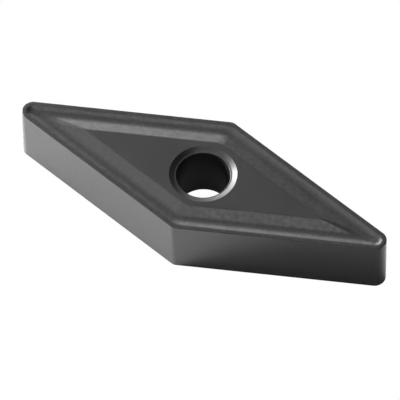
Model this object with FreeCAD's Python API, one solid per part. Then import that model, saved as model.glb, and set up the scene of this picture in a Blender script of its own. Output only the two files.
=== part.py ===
import FreeCAD, Part
import math
import os

# Double-sided rhombic turning insert: one sintered body, with a moulded chip groove round both faces.
# Millimetres. The two cutting corners lie on the X axis, the two blunt corners on the Y axis, +Z is up.
# The origin is on the hole's axis, in the plane of the lower seat, on which the insert rests.

# Plan outline
inscribed_circle = 9.525   # diameter of the circle that touches all four sides
corner_angle = 35.0   # degrees between the two sides that meet at a cutting corner
nose_radius = 0.8   # rounding of the two cutting corners
blunt_radius = 0.6   # rounding of the two blunt corners

# Height
seat_thickness = 4.76   # from the lower seat to the upper one
seat_rise = 0.12   # how far each seat stands out past the cutting edge round it
edge_hone = 0.04   # rounding of the cutting edge itself

# Chip groove, measured square to a side
land_width = 0.32   # flat strip just behind the cutting edge
land_radius = 0.5   # rounding between the land and the slope behind it
rake_angle = 19.0   # degrees, the slope that falls away behind the land
groove_radius = 1.4   # hollow at the root of the groove
wall_angle = 15.5   # degrees, the slope that climbs from the root to the seat
seat_inset = 1.98   # from the side to the edge of the seat
seat_radius = 0.6   # rounding between that slope and the seat

# Hole for the clamping pin or screw
bore_diameter = 3.81
mouth_diameter = 4.78   # where the mouth of the hole meets the seat
mouth_depth = 0.17   # from the seat down to the ledge at the foot of the mouth
ledge_width = 0.11   # flat ledge between the mouth and the bore
lip_radius = 0.04   # rounding between the seat and the mouth
foot_radius = 0.3   # hollow between the mouth and its ledge
rim_radius = 0.03   # rounding between the ledge and the bore

# Working values that leave no trace on the insert
overrun = 0.5   # how far a cutting shape runs past the body
run_share = 0.95   # most of a straight run that one rounding may take up
same_place = 1e-6   # closer than this, two points count as one

# Worked out from the sizes above. Heights count from the middle plane until the insert is set down.
half_corner = math.radians(corner_angle / 2)
side_distance = inscribed_circle / 2
long_half = side_distance / math.sin(half_corner)
short_half = side_distance / math.cos(half_corner)
seat_height = seat_thickness / 2
edge_height = seat_height - seat_rise

origin = FreeCAD.Vector(0, 0, 0)
along_x = FreeCAD.Vector(1, 0, 0)
along_y = FreeCAD.Vector(0, 1, 0)
along_z = FreeCAD.Vector(0, 0, 1)


def corner_reaches(corners, radii):
    """How far each rounding runs along the straight runs beside its corner. Short runs hold it back."""
    count = len(corners)
    wished = []
    for i in range(count):
        back = corners[i - 1] - corners[i]
        onward = corners[(i + 1) % count] - corners[i]
        wished.append(radii[i] / math.tan(back.getAngle(onward) / 2))
    shares = []
    for i in range(count):
        after = (i + 1) % count
        longest = run_share * (corners[after] - corners[i]).Length
        shares.append(longest / max(longest, wished[i] + wished[after]))
    return [wished[i] * min(shares[i - 1], shares[i]) for i in range(count)]


def corner_arc(before, corner, after, reach):
    """Arc that rounds one corner of a path and touches both runs at the reach from the corner."""
    back = before - corner
    onward = after - corner
    half_opening = back.getAngle(onward) / 2
    radius = reach * math.tan(half_opening)
    back.normalize()
    onward.normalize()
    to_centre = (back + onward).normalize()
    middle = corner + to_centre * (radius / math.sin(half_opening) - radius)
    return Part.Arc(corner + back * reach, middle, corner + onward * reach)


def rounded_face(corners, radii):
    """Flat face inside a closed path, each corner rounded by its own radius, or sharp at 0."""
    count = len(corners)
    reaches = corner_reaches(corners, radii)
    arrivals = list(corners)
    departures = list(corners)
    edges = []
    for i in range(count):
        if radii[i] > 0:
            arc = corner_arc(corners[i - 1], corners[i], corners[(i + 1) % count], reaches[i])
            arrivals[i] = arc.StartPoint
            departures[i] = arc.EndPoint
            edges.append(arc.toShape())
    for i in range(count):
        edges.append(Part.LineSegment(departures[i - 1], arrivals[i]).toShape())
    return Part.Face(Part.Wire(Part.sortEdges(edges)[0]))


def plan_face():
    """Rhombus with its two cutting corners and its two blunt corners rounded."""
    corners = [
        along_x * long_half,
        along_y * short_half,
        along_x * -long_half,
        along_y * -short_half,
    ]
    return rounded_face(corners, [nose_radius, blunt_radius, nose_radius, blunt_radius])


def section_point(inset, height):
    """Point in the plane square to a side that faces +Y, at a distance in from that side."""
    return FreeCAD.Vector(0, side_distance - inset, height)


def groove_section():
    """What the chip groove takes away above one side: land, slope, hollow root and the climb to the seat."""
    fall = math.tan(math.radians(rake_angle))
    climb = math.tan(math.radians(wall_angle))
    root_inset = (land_width * fall + seat_inset * climb - seat_rise) / (fall + climb)
    root_height = edge_height - (root_inset - land_width) * fall
    top = seat_height + overrun
    corners = [
        section_point(-overrun, edge_height),
        section_point(land_width, edge_height),
        section_point(root_inset, root_height),
        section_point(seat_inset, seat_height),
        section_point(seat_inset + overrun, seat_height),
        section_point(seat_inset + overrun, top),
        section_point(-overrun, top),
    ]
    return rounded_face(corners, [0, land_radius, groove_radius, seat_radius, 0, 0, 0])


def groove_along_side(section, start, end):
    """Groove along the straight stretch of a side that faces +Y."""
    strip = section.copy()
    strip.translate(along_x * start)
    return strip.extrude(along_x * (end - start))


def groove_round_corner(section, radius, station, turn):
    """Groove carried round a rounded corner, about the centre of its rounding."""
    centre = FreeCAD.Vector(station, side_distance - radius, 0)
    width = 2 * overrun
    depth = radius + 2 * overrun
    outside = Part.makeBox(width, depth, seat_thickness, FreeCAD.Vector(-overrun, centre.y, 0))
    outer_section = section.common(outside)
    outer_section.translate(along_x * station)
    return outer_section.revolve(centre, along_z, turn)


def quarter_groove():
    """Groove above the side in the quarter where X and Y are both positive."""
    section = groove_section()
    nose_station = (side_distance - nose_radius) / math.tan(half_corner)
    blunt_station = -(side_distance - blunt_radius) * math.tan(half_corner)
    stretches = [
        groove_along_side(section, blunt_station, nose_station),
        groove_round_corner(section, nose_radius, nose_station, corner_angle / 2 - 90),
        groove_round_corner(section, blunt_radius, blunt_station, corner_angle / 2),
    ]
    quarter = Part.makeBox(2 * long_half, 2 * long_half, seat_thickness)
    for stretch in stretches:
        stretch.rotate(origin, along_z, -corner_angle / 2)
    return stretches[0].multiFuse(stretches[1:]).common(quarter)


def groove_ring():
    """Groove of the upper face: the quarter and its mirror images."""
    quarter = quarter_groove()
    half = quarter.fuse(quarter.mirror(origin, along_x))
    return half.fuse(half.mirror(origin, along_y))


def bore_length():
    """Length of the straight wall of the hole, between the rounded rims of its two ledges."""
    return seat_thickness - 2 * (mouth_depth + rim_radius)


def hole():
    """Plain hole, with a shallow sloping mouth and a narrow flat ledge at both ends."""
    bore_radius = bore_diameter / 2
    mouth_radius = mouth_diameter / 2
    outer_radius = mouth_radius + overrun
    ledge_height = seat_height - mouth_depth
    top = seat_height + overrun
    corners = [
        FreeCAD.Vector(0, 0, 0),
        FreeCAD.Vector(bore_radius, 0, 0),
        FreeCAD.Vector(bore_radius, 0, ledge_height),
        FreeCAD.Vector(bore_radius + ledge_width, 0, ledge_height),
        FreeCAD.Vector(mouth_radius, 0, seat_height),
        FreeCAD.Vector(outer_radius, 0, seat_height),
        FreeCAD.Vector(outer_radius, 0, top),
        FreeCAD.Vector(0, 0, top),
    ]
    radii = [0, 0, rim_radius, foot_radius, lip_radius, 0, 0, 0]
    upper = rounded_face(corners, radii).revolve(origin, along_z, 360)
    return upper.fuse(upper.mirror(origin, along_z))


def cutting_edges(body, outline):
    """Edges of the body that run along the outline at the height of a cutting edge."""
    found = []
    for edge in body.Edges:
        middle = edge.valueAt((edge.FirstParameter + edge.LastParameter) / 2)
        level = abs(abs(middle.z) - edge_height) < same_place
        in_plan = Part.Vertex(middle.x, middle.y, 0)
        if level and outline.distToShape(in_plan)[0] < same_place:
            found.append(edge)
    return found


def insert_body():
    """The whole insert, resting on its lower seat."""
    plan = plan_face()
    blank = plan.extrude(along_z * seat_thickness)
    blank.translate(along_z * -seat_height)
    upper_groove = groove_ring()
    lower_groove = upper_groove.mirror(origin, along_z)
    body = blank.cut([upper_groove, lower_groove, hole()]).removeSplitter()
    body = body.Solids[0]
    body = body.makeFillet(edge_hone, cutting_edges(body, plan.OuterWire))
    body.translate(along_z * seat_height)
    return body


os.makedirs("parts", exist_ok=True)
insert = insert_body()
insert.exportStep("parts/insert_body.step")
print("valid", insert.isValid(), "solids", len(insert.Solids), "faces", len(insert.Faces))
print("volume %.3f mm3" % insert.Volume)
print("box", insert.BoundBox)
print("straight wall of the hole %.4f mm" % bore_length())
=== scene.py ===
"""A dark coated carbide turning insert, dressed and set in a plain studio."""

import logging
import math
from dataclasses import dataclass, field
from enum import Enum
from typing import Any

import bpy
from mathutils import Matrix, Vector


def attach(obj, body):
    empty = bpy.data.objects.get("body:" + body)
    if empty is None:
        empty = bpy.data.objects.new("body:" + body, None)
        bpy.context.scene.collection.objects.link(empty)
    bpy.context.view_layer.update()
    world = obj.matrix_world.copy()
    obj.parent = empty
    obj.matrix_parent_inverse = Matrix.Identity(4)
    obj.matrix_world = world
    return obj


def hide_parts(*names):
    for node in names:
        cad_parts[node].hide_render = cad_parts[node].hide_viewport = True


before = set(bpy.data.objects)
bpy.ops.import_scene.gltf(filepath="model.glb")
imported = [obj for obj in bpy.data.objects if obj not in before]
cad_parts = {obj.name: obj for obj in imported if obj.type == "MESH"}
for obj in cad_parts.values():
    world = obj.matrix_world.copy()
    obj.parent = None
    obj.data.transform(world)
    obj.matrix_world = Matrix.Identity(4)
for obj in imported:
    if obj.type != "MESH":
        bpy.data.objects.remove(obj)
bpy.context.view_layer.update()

MILLIMETRE = 0.001
WHITE = (1.0, 1.0, 1.0, 1.0)
NOISE_MIDDLE = 0.5
# Attribute of the body's points: 1 in the groove, 0 on the ground seats and sides and in the hole.
PRESSED = "pressed"
log = logging.getLogger("insert")


class Signal:
    """One output socket of a node, which takes part in arithmetic."""

    def __init__(self, graph: "Graph", socket: bpy.types.NodeSocket | None) -> None:
        """Keeps the socket and the graph that new nodes go into."""
        self.graph = graph
        self.socket = socket

    def math(self, operation: str, *others: "Signal | float", clamp: bool = False) -> "Signal":
        """Adds one Math node with this signal as its first value.

        Args:
            operation: what the Math node does.
            others: its second and third values.
            clamp: whether the result is kept between 0 and 1.

        Returns:
            The node's result.
        """
        settings = {"operation": operation, "use_clamp": clamp}
        return self.graph.node("ShaderNodeMath", settings, {0: self, **dict(enumerate(others, 1))})

    def __add__(self, other: "Signal | float") -> "Signal":
        """This plus the other."""
        return self.math("ADD", other)

    def __radd__(self, other: float) -> "Signal":
        """The other plus this."""
        return self.math("ADD", other)

    def __sub__(self, other: "Signal | float") -> "Signal":
        """This less the other."""
        return self.math("SUBTRACT", other)

    def __rsub__(self, other: float) -> "Signal":
        """The other less this."""
        return self.math("MULTIPLY_ADD", -1.0, other)

    def __mul__(self, other: "Signal | float") -> "Signal":
        """This times the other."""
        return self.math("MULTIPLY", other)

    def __rmul__(self, other: float) -> "Signal":
        """The other times this."""
        return self.math("MULTIPLY", other)

    def __truediv__(self, other: "Signal | float") -> "Signal":
        """This over the other."""
        return self.math("DIVIDE", other)

    def larger(self, other: "Signal | float") -> "Signal":
        """The larger of the two."""
        return self.math("MAXIMUM", other)

    def above(self, other: "Signal | float") -> "Signal":
        """1 where this is above the other, and 0 elsewhere."""
        return self.math("GREATER_THAN", other)

    def share(self) -> "Signal":
        """This kept between 0 and 1."""
        return self.math("ADD", 0.0, clamp=True)

    def towards(self, other: "Signal | float", factor: "Signal") -> "Signal":
        """A blend from this at factor 0 to the other at factor 1."""
        return self + (other - self) * factor


class Graph:
    """Adds nodes to one tree."""

    def __init__(self, tree: bpy.types.NodeTree) -> None:
        """Keeps the tree and empties it."""
        self.tree = tree
        tree.nodes.clear()

    def node(self, kind: str, settings: dict[str, Any] | None = None, inputs: dict[Any, Any] | None = None,
             output: int | str = 0) -> Signal:
        """Adds one node, with its settings first and then its sockets.

        Args:
            kind: the node's type.
            settings: its attributes. "items" gives how many entries an Index Switch has.
            inputs: a value or a Signal for each socket, by name or number. A list links several.
            output: the socket to hand back.

        Returns:
            The chosen output, or one with no socket if the node has none.
        """
        made = self.tree.nodes.new(kind)
        settings = dict(settings or {})
        if "items" in settings:
            for _ in range(len(made.index_switch_items), settings.pop("items")):
                made.index_switch_items.new()
        for name, value in settings.items():
            setattr(made, name, value)
        for name, value in (inputs or {}).items():
            self.feed(made.inputs[name], value)
        return Signal(self, made.outputs[output] if len(made.outputs) else None)

    def feed(self, socket: bpy.types.NodeSocket, value: Any) -> None:
        """Links a Signal, or each Signal of a list, to a socket, or sets the socket's own value.

        Args:
            socket: the input socket.
            value: what it gets.
        """
        if isinstance(value, list):
            for one in value:
                self.tree.links.new(one.socket, socket)
        elif isinstance(value, Signal):
            self.tree.links.new(value.socket, socket)
        else:
            socket.default_value = value


@dataclass(frozen=True)
class CoatedCarbide:
    """Satin, nearly black wear coating over sintered carbide.

    It has three scales of unevenness. The grain is that of the pressed powder, the mottle is left by
    blasting after the coating, and the cloud is the slow change in the coating's thickness. The groove
    keeps the skin of the press tool, which is more mottled than the ground seats and sides.
    """

    name: str = "coated_carbide"
    tone: float = 0.011
    grain_tone: float = 0.35
    cloud_tone: float = 0.15
    pressed_tone: float = 2.9
    least_tone: float = 0.2
    blue: float = 1.04
    roughness: float = 0.34
    mottle_roughness: float = 0.08
    pressed_roughness: float = 0.25
    cloud_roughness: float = 0.05
    grain_size: float = 0.08 * MILLIMETRE
    grain_detail: float = 2.0
    mottle_size: float = 0.28 * MILLIMETRE
    mottle_detail: float = 1.0
    cloud_size: float = 2.6 * MILLIMETRE
    cloud_detail: float = 3.0
    detail_share: float = 0.5
    relief: float = 0.004 * MILLIMETRE
    refraction: float = 1.5

    def noise(self, graph: Graph, place: Signal, size: float, detail: float) -> Signal:
        """Smooth random values over the surface.

        Args:
            graph: where the nodes go.
            place: the coordinates.
            size: the width of one spot, in metres.
            detail: how many finer layers it has.

        Returns:
            Values around 0, mostly between minus and plus a quarter.
        """
        inputs = {"Vector": place, "Scale": 1.0 / size, "Detail": detail, "Roughness": self.detail_share}
        return graph.node("ShaderNodeTexNoise", {}, inputs) - NOISE_MIDDLE

    def material(self) -> bpy.types.Material:
        """Builds the finish.

        Returns:
            The material.
        """
        made = bpy.data.materials.new(self.name)
        made.use_nodes = True
        graph = Graph(made.node_tree)
        place = graph.node("ShaderNodeTexCoord", output="Object")
        grain = self.noise(graph, place, self.grain_size, self.grain_detail)
        mottle = self.noise(graph, place, self.mottle_size, self.mottle_detail)
        cloud = self.noise(graph, place, self.cloud_size, self.cloud_detail)
        pressed = graph.node("ShaderNodeAttribute", {"attribute_name": PRESSED}, output="Fac") * mottle
        uneven = 1.0 + self.grain_tone * grain + self.cloud_tone * cloud + self.pressed_tone * pressed
        tone = self.tone * uneven.larger(self.least_tone)
        colour = graph.node("ShaderNodeCombineColor", {}, {0: tone, 1: tone, 2: tone * self.blue})
        roughness = (self.roughness + self.mottle_roughness * mottle + self.cloud_roughness * cloud
                     - self.pressed_roughness * pressed)
        relief = {"Strength": 1.0, "Distance": self.relief, "Height": grain + mottle}
        bump = graph.node("ShaderNodeBump", {}, relief)
        inputs = {"Base Color": colour, "Roughness": roughness, "Normal": bump, "IOR": self.refraction}
        surface = graph.node("ShaderNodeBsdfPrincipled", {}, inputs)
        graph.node("ShaderNodeOutputMaterial", {}, {"Surface": surface})
        return made


@dataclass(frozen=True)
class SectionCorner:
    """One corner of the section's path: where it is, its rounding and how many points the rounding has."""

    inset: Signal | float
    height: Signal | float
    radius: Signal | float = 0.0
    points: int = 1


@dataclass
class InsertBody:
    """The insert itself. Sizes are in millimetres, as on its drawing."""

    finish: CoatedCarbide = field(default_factory=CoatedCarbide)
    inscribed_circle: float = 9.525
    corner_angle: float = 35.0
    nose_radius: float = 0.8
    blunt_radius: float = 0.6
    seat_thickness: float = 4.76
    seat_rise: float = 0.12
    edge_hone: float = 0.04
    land_width: float = 0.32
    land_radius: float = 0.5
    rake_angle: float = 19.0
    groove_radius: float = 1.4
    wall_angle: float = 15.5
    seat_inset: float = 1.98
    seat_radius: float = 0.6
    root_ridge_radius: float = 0.28
    seat_ridge_radius: float = 0.08
    inner_blunt_radius: float = 1.2
    bore_diameter: float = 3.81
    mouth_diameter: float = 4.78
    mouth_depth: float = 0.17
    ledge_width: float = 0.11
    lip_radius: float = 0.04
    foot_radius: float = 0.3
    rim_radius: float = 0.03
    # How finely the form is drawn
    fine_points: int = 8
    plain_points: int = 5
    root_points: int = 14
    nose_steps: int = 29
    blunt_steps: int = 7
    # Past the seat's edge by this much, the rows of the mesh are circles round the hole
    seat_margin: float = 0.1
    # Closer than this, two points are merged
    same_place: float = 0.0005
    node: str = "insert_body"
    name: str = "coated_insert_body"

    def sizes(self) -> dict[str, float]:
        """The sizes that the section and the plan follow.

        Returns:
            The value of each named input of the geometry.
        """
        return {
            "Side distance": self.inscribed_circle / 2,
            "Half corner": math.radians(self.corner_angle / 2),
            "Nose radius": self.nose_radius,
            "Blunt radius": self.blunt_radius,
            "Root ridge radius": self.root_ridge_radius,
            "Seat ridge radius": self.seat_ridge_radius,
            "Inner blunt radius": self.inner_blunt_radius,
            "Seat height": self.seat_thickness / 2,
            "Seat rise": self.seat_rise,
            "Edge hone": self.edge_hone,
            "Land width": self.land_width,
            "Land radius": self.land_radius,
            "Rake fall": math.tan(math.radians(self.rake_angle)),
            "Groove radius": self.groove_radius,
            "Wall climb": math.tan(math.radians(self.wall_angle)),
            "Seat inset": self.seat_inset,
            "Seat radius": self.seat_radius,
            "Bore radius": self.bore_diameter / 2,
            "Mouth radius": self.mouth_diameter / 2,
            "Mouth depth": self.mouth_depth,
            "Ledge width": self.ledge_width,
            "Lip radius": self.lip_radius,
            "Foot radius": self.foot_radius,
            "Rim radius": self.rim_radius,
        }

    def section(self, graph: Graph, size: dict[str, Signal]) -> Signal:
        """Half the insert's section, from the middle of a side up and over to the middle of the hole's wall.

        Args:
            graph: the geometry's graph.
            size: the named inputs.

        Returns:
            A curve with X as the distance in from the side and Y as the height above the middle plane.
        """
        seat_height = size["Seat height"]
        edge_height = seat_height - size["Seat rise"]
        root_inset = (size["Land width"] * size["Rake fall"] + size["Seat inset"] * size["Wall climb"]
                      - size["Seat rise"]) / (size["Rake fall"] + size["Wall climb"])
        root_height = edge_height - (root_inset - size["Land width"]) * size["Rake fall"]
        bore_inset = size["Side distance"] - size["Bore radius"]
        mouth_inset = size["Side distance"] - size["Mouth radius"]
        foot_inset = bore_inset - size["Ledge width"]
        ledge_height = seat_height - size["Mouth depth"]
        path = [
            SectionCorner(0.0, 0.0),
            SectionCorner(0.0, edge_height, size["Edge hone"], self.fine_points),
            SectionCorner(size["Land width"], edge_height, size["Land radius"], self.plain_points),
            SectionCorner(root_inset, root_height, size["Groove radius"], self.root_points),
            SectionCorner(size["Seat inset"], seat_height, size["Seat radius"], self.plain_points),
            SectionCorner(mouth_inset, seat_height, size["Lip radius"], self.fine_points),
            SectionCorner(foot_inset, ledge_height, size["Foot radius"], self.plain_points),
            SectionCorner(bore_inset, ledge_height, size["Rim radius"], self.plain_points),
            SectionCorner(bore_inset, 0.0),
        ]
        index = graph.node("GeometryNodeInputIndex")
        pairs = [{0: corner.inset, 1: corner.height} for corner in path]
        points = [graph.node("ShaderNodeCombineXYZ", {}, pair) for pair in pairs]
        line = graph.node("GeometryNodeMeshLine", {}, {"Count": len(path)})
        place = self.pick(graph, "VECTOR", index, points)
        bent = graph.node("GeometryNodeSetPosition", {}, {"Geometry": line, "Position": place})
        curve = graph.node("GeometryNodeMeshToCurve", {}, {"Mesh": bent})
        radius = self.pick(graph, "FLOAT", index, [corner.radius for corner in path])
        count = self.pick(graph, "INT", index, [corner.points for corner in path])
        rounding = {"Curve": curve, "Count": count, "Radius": radius, "Limit Radius": True}
        return graph.node("GeometryNodeFilletCurve", {"mode": "POLY"}, rounding)

    def pick(self, graph: Graph, kind: str, index: Signal, values: list[Any]) -> Signal:
        """One value of a list for each point.

        Args:
            graph: the geometry's graph.
            kind: the type of the values.
            index: the number of the point.
            values: the list.

        Returns:
            The value that belongs to the point.
        """
        inputs = {"Index": index, **{str(number): value for number, value in enumerate(values)}}
        return graph.node("GeometryNodeIndexSwitch", {"data_type": kind, "items": len(values)}, inputs)

    def quarter(self, graph: Graph, size: dict[str, Signal], section: Signal) -> Signal:
        """A quarter of the upper half: the section carried round half a cutting corner and half a blunt one.

        Args:
            graph: the geometry's graph.
            size: the named inputs.
            section: the section's curve.

        Returns:
            The quarter's mesh, with the attribute that tells the pressed groove from the ground faces.
        """
        rings = graph.node("GeometryNodeAttributeDomainSize", {"component": "CURVE"}, {"Geometry": section})
        stations = self.nose_steps + self.blunt_steps + 2
        grid = graph.node("GeometryNodeMeshGrid", {}, {"Vertices X": stations, "Vertices Y": rings})
        index = graph.node("GeometryNodeInputIndex")
        ring = graph.node("FunctionNodeIntegerMath", {"operation": "MODULO"}, {0: index, 1: rings})
        station = graph.node("FunctionNodeIntegerMath", {"operation": "DIVIDE_FLOOR"}, {0: index, 1: rings})
        position = graph.node("GeometryNodeInputPosition")
        settings = {"data_type": "FLOAT_VECTOR", "domain": "POINT"}
        inputs = {"Geometry": section, "Value": position, "Index": ring}
        sample = graph.node("GeometryNodeSampleIndex", settings, inputs)
        inset = graph.node("ShaderNodeSeparateXYZ", {}, {0: sample}, "X")
        height = graph.node("ShaderNodeSeparateXYZ", {}, {0: sample}, "Y")

        # Each row of the mesh has its own rounding at both corners. Round the hole the rows are circles.
        distance = size["Side distance"] - inset
        in_hole = inset.above(size["Seat inset"] + self.seat_margin)
        past_land = (inset / size["Land width"]).share()
        up_the_wall = (inset / size["Seat inset"]).share()
        ridge = size["Root ridge radius"].towards(size["Seat ridge radius"], up_the_wall * up_the_wall)
        nose = (size["Nose radius"] - inset).larger(ridge).towards(distance, in_hole)
        blunt = size["Blunt radius"].towards(size["Inner blunt radius"], past_land).towards(distance, in_hole)

        # The stations turn first through the cutting corner and then through the blunt one.
        half = size["Half corner"]
        past_nose = station - float(self.nose_steps)
        at_blunt = past_nose.share()
        nose_turn = (math.pi / 2 - half) * (station / float(self.nose_steps)).share()
        blunt_turn = half * ((past_nose - 1.0) / float(self.blunt_steps)).share()
        turn = nose_turn + blunt_turn
        radius = nose.towards(blunt, at_blunt)
        centre_x = (distance - nose) / half.math("SINE") * (1.0 - at_blunt)
        centre_y = (distance - blunt) / half.math("COSINE") * at_blunt
        x = centre_x + radius * turn.math("COSINE")
        y = centre_y + radius * turn.math("SINE")
        place = graph.node("ShaderNodeCombineXYZ", {}, {0: x, 1: y, 2: height})
        shaped = graph.node("GeometryNodeSetPosition", {}, {"Geometry": grid, "Position": place})

        behind_edge = (inset / size["Edge hone"]).share()
        below_seat = ((size["Seat inset"] - inset) / size["Edge hone"]).share()
        settings = {"data_type": "FLOAT", "domain": "POINT"}
        inputs = {"Geometry": shaped, "Name": PRESSED, "Value": behind_edge * below_seat}
        return graph.node("GeometryNodeStoreNamedAttribute", settings, inputs)

    def mirrored(self, graph: Graph, mesh: Signal, scale: tuple[float, float, float]) -> Signal:
        """A mesh joined with its mirror image.

        Args:
            graph: the geometry's graph.
            mesh: the mesh.
            scale: minus one on the axis to mirror.

        Returns:
            Both halves.
        """
        image = graph.node("GeometryNodeTransform", {}, {"Geometry": mesh, "Scale": scale})
        turned = graph.node("GeometryNodeFlipFaces", {}, {"Mesh": image})
        return graph.node("GeometryNodeJoinGeometry", {}, {"Geometry": [mesh, turned]})

    def tree(self, material: bpy.types.Material) -> bpy.types.NodeTree:
        """The Geometry Nodes tree of the whole body.

        Args:
            material: what the body is finished with.

        Returns:
            The tree, with a named input for each size.
        """
        tree = bpy.data.node_groups.new("rhombic_insert", "GeometryNodeTree")
        graph = Graph(tree)
        tree.interface.new_socket("Geometry", in_out="OUTPUT", socket_type="NodeSocketGeometry")
        for name in self.sizes():
            tree.interface.new_socket(name, in_out="INPUT", socket_type="NodeSocketFloat")
        size = {name: graph.node("NodeGroupInput", output=name) for name in self.sizes()}
        mesh = self.quarter(graph, size, self.section(graph, size))
        for scale in ((-1.0, 1.0, 1.0), (1.0, -1.0, 1.0), (1.0, 1.0, -1.0)):
            mesh = self.mirrored(graph, mesh, scale)
        merge = {"Geometry": mesh, "Distance": self.same_place}
        closed = graph.node("GeometryNodeMergeByDistance", {}, merge)
        rest = graph.node("ShaderNodeCombineXYZ", {}, {2: size["Seat height"] * MILLIMETRE})
        inputs = {"Geometry": closed, "Translation": rest, "Scale": (MILLIMETRE,) * 3}
        placed = graph.node("GeometryNodeTransform", {}, inputs)
        smooth = graph.node("GeometryNodeSetShadeSmooth", {}, {"Geometry": placed, "Shade Smooth": True})
        real = graph.node("GeometryNodeRealizeInstances", {}, {"Geometry": smooth})
        dressed = graph.node("GeometryNodeSetMaterial", {}, {"Geometry": real, "Material": material})
        graph.node("NodeGroupOutput", {}, {"Geometry": dressed})
        return tree

    def build(self) -> bpy.types.Object:
        """Builds the body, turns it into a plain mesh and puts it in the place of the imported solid.

        Returns:
            The finished piece.
        """
        material = self.finish.material()
        tree = self.tree(material)
        sizes = self.sizes()
        source = bpy.data.objects.new("insert_rule", bpy.data.meshes.new("insert_rule"))
        bpy.context.scene.collection.objects.link(source)
        rule = source.modifiers.new("rule", "NODES")
        rule.node_group = tree
        for item in tree.interface.items_tree:
            if item.in_out == "INPUT":
                rule[item.identifier] = sizes[item.name]
        source.modifiers.new("even_shading", "WEIGHTED_NORMAL")
        evaluated = source.evaluated_get(bpy.context.evaluated_depsgraph_get())
        mesh = bpy.data.meshes.new_from_object(evaluated)
        mesh.name = self.name
        mesh.materials.clear()
        mesh.materials.append(material)
        mesh.polygons.foreach_set("material_index", [0] * len(mesh.polygons))
        source.modifiers.clear()
        bpy.data.objects.remove(source)
        piece = bpy.data.objects.new(self.name, mesh)
        bpy.context.scene.collection.objects.link(piece)
        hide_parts(self.node)
        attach(piece, "root")
        log.info("%s: %d faces", piece.name, len(mesh.polygons))
        return piece


class Place(Enum):
    """Where a soft box stands round the insert: azimuth from +Y towards +X, and elevation, in degrees."""

    LEFT = (-80.0, 24.0)
    LEFT_BACK = (-60.0, 24.0)
    BACK_LEFT = (-40.0, 24.0)
    BACK = (-20.0, 24.0)
    LEFT_LOW = (-100.0, 8.0)
    FRONT_LOW = (-120.0, 8.0)
    TOP = (0.0, 90.0)
    LEFT_BACK_HIGH = (-60.0, 40.0)
    LEFT_ABOVE = (-100.0, 72.0)
    RIGHT_BACK = (45.0, 18.0)
    RIGHT = (90.0, 18.0)
    RIGHT_FRONT = (135.0, 18.0)
    FRONT = (180.0, 18.0)


@dataclass(frozen=True)
class SoftBox:
    """A square lamp aimed at the insert, which the camera doesn't see. Its sizes are in metres."""

    place: Place
    radiance: float
    width: float = 0.109
    distance: float = 0.35

    def build(self) -> bpy.types.Object:
        """Makes the lamp.

        Returns:
            The lamp's object.
        """
        azimuth, elevation = (math.radians(angle) for angle in self.place.value)
        level = math.cos(elevation)
        outward = Vector((math.sin(azimuth) * level, math.cos(azimuth) * level, math.sin(elevation)))
        lamp = bpy.data.lights.new("soft_box_" + self.place.name.lower(), "AREA")
        lamp.shape = "SQUARE"
        lamp.size = self.width
        lamp.energy = self.radiance * math.pi * self.width ** 2
        made = bpy.data.objects.new(lamp.name, lamp)
        turn = outward.to_track_quat("Z", "Y").to_matrix().to_4x4()
        made.matrix_world = Matrix.Translation(outward * self.distance) @ turn
        made.visible_camera = False
        bpy.context.scene.collection.objects.link(made)
        return made


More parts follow.
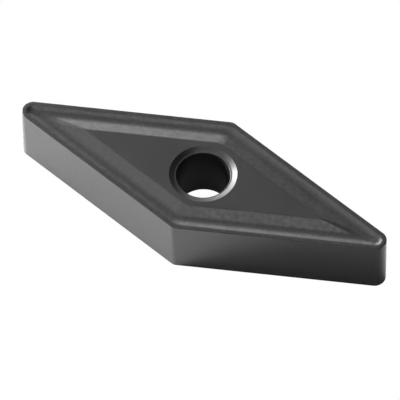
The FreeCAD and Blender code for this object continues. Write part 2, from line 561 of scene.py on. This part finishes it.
@dataclass
class Studio:
    """White table, soft lamps and camera.

    The camera's place and lens are in millimetres and its angles in degrees. The table's sizes and the
    camera's range are in metres.
    """

    azimuth: float = 25.4546
    elevation: float = 54.7838
    roll: float = -0.5360
    aside: float = 0.2343
    above: float = 0.4590
    distance: float = 514.237
    lens: float = 660.2241
    sensor: float = 36.0
    aim_height: float = 2.38
    nearest: float = 0.01
    farthest: float = 20.0
    table_half: float = 1.5
    table_gap: float = 0.02 * MILLIMETRE
    table_tone: float = 0.8
    boxes: tuple[SoftBox, ...] = (
        SoftBox(Place.LEFT, 124.8),
        SoftBox(Place.LEFT_BACK, 14.9),
        SoftBox(Place.BACK_LEFT, 13.7),
        SoftBox(Place.BACK, 3.4),
        SoftBox(Place.LEFT_LOW, 38.5),
        SoftBox(Place.FRONT_LOW, 17.0),
        SoftBox(Place.TOP, 4.2),
        SoftBox(Place.LEFT_BACK_HIGH, 9.2),
        SoftBox(Place.LEFT_ABOVE, 1.7),
    )
    fill_places: tuple[Place, ...] = (Place.RIGHT_BACK, Place.RIGHT, Place.RIGHT_FRONT, Place.FRONT)
    fill_radiance: float = 0.3
    fill_width: float = 0.233

    def camera(self) -> bpy.types.Object:
        """Sets the camera at the photograph's angle.

        Returns:
            The camera's object.
        """
        angles = (self.azimuth, self.elevation, self.roll)
        azimuth, elevation, roll = (math.radians(angle) for angle in angles)
        back = Vector((math.sin(azimuth) * math.cos(elevation), -math.cos(azimuth) * math.cos(elevation),
                       math.sin(elevation)))
        level = Vector((math.cos(azimuth), math.sin(azimuth), 0.0))
        upward = back.cross(level)
        right = level * math.cos(roll) + upward * math.sin(roll)
        up = upward * math.cos(roll) - level * math.sin(roll)
        aim = Vector((0.0, 0.0, self.aim_height))
        place = back * self.distance - right * self.aside - up * self.above + aim
        turn = Matrix((right, up, back)).transposed().to_4x4()
        data = bpy.data.cameras.new("camera")
        data.sensor_width = self.sensor
        data.lens = self.lens
        data.clip_start = self.nearest
        data.clip_end = self.farthest
        made = bpy.data.objects.new("camera", data)
        made.matrix_world = Matrix.Translation(place * MILLIMETRE) @ turn
        bpy.context.scene.collection.objects.link(made)
        bpy.context.scene.camera = made
        return made

    def table(self) -> bpy.types.Object:
        """Lays the white table that the insert rests on.

        Returns:
            The table's object.
        """
        half, level = self.table_half, -self.table_gap
        mesh = bpy.data.meshes.new("table")
        places = [(x, y, level) for x, y in ((-half, -half), (half, -half), (half, half), (-half, half))]
        mesh.from_pydata(places, [], [(0, 1, 2, 3)])
        made = bpy.data.objects.new("table", mesh)
        bpy.context.scene.collection.objects.link(made)
        mesh.materials.append(self.table_finish())
        return made

    def table_finish(self) -> bpy.types.Material:
        """Matt white, which the camera sees evenly lit.

        Returns:
            The material.
        """
        made = bpy.data.materials.new("white_table")
        made.use_nodes = True
        graph = Graph(made.node_tree)
        seen = graph.node("ShaderNodeLightPath", output="Is Camera Ray")
        matt = graph.node("ShaderNodeBsdfDiffuse", {}, {"Color": (self.table_tone,) * 3 + (1.0,)})
        lit = graph.node("ShaderNodeEmission", {}, {"Color": WHITE, "Strength": 1.0})
        surface = graph.node("ShaderNodeMixShader", {}, {0: seen, 1: matt, 2: lit})
        graph.node("ShaderNodeOutputMaterial", {}, {"Surface": surface})
        return made

    def air(self) -> None:
        """Makes the backdrop white to the camera and dark to the insert, which only lamps and table light."""
        world = bpy.data.worlds.new("room")
        bpy.context.scene.world = world
        world.use_nodes = True
        graph = Graph(world.node_tree)
        seen = graph.node("ShaderNodeLightPath", output="Is Camera Ray")
        light = graph.node("ShaderNodeBackground", {}, {"Color": WHITE, "Strength": seen})
        graph.node("ShaderNodeOutputWorld", {}, {"Surface": light})

    def build(self) -> None:
        """Sets the table, the air, the lamps and the camera."""
        self.table()
        self.air()
        fills = [SoftBox(place, self.fill_radiance, self.fill_width) for place in self.fill_places]
        for box in (*self.boxes, *fills):
            log.info("lamp: %s", box.build().name)
        log.info("camera: %s", self.camera().name)


def main() -> None:
    """Builds the insert and its studio."""
    logging.basicConfig(level=logging.INFO, format="%(name)s: %(message)s")
    bpy.context.scene.view_settings.view_transform = "Standard"
    InsertBody().build()
    Studio().build()


if __name__ == "__main__":
    main()
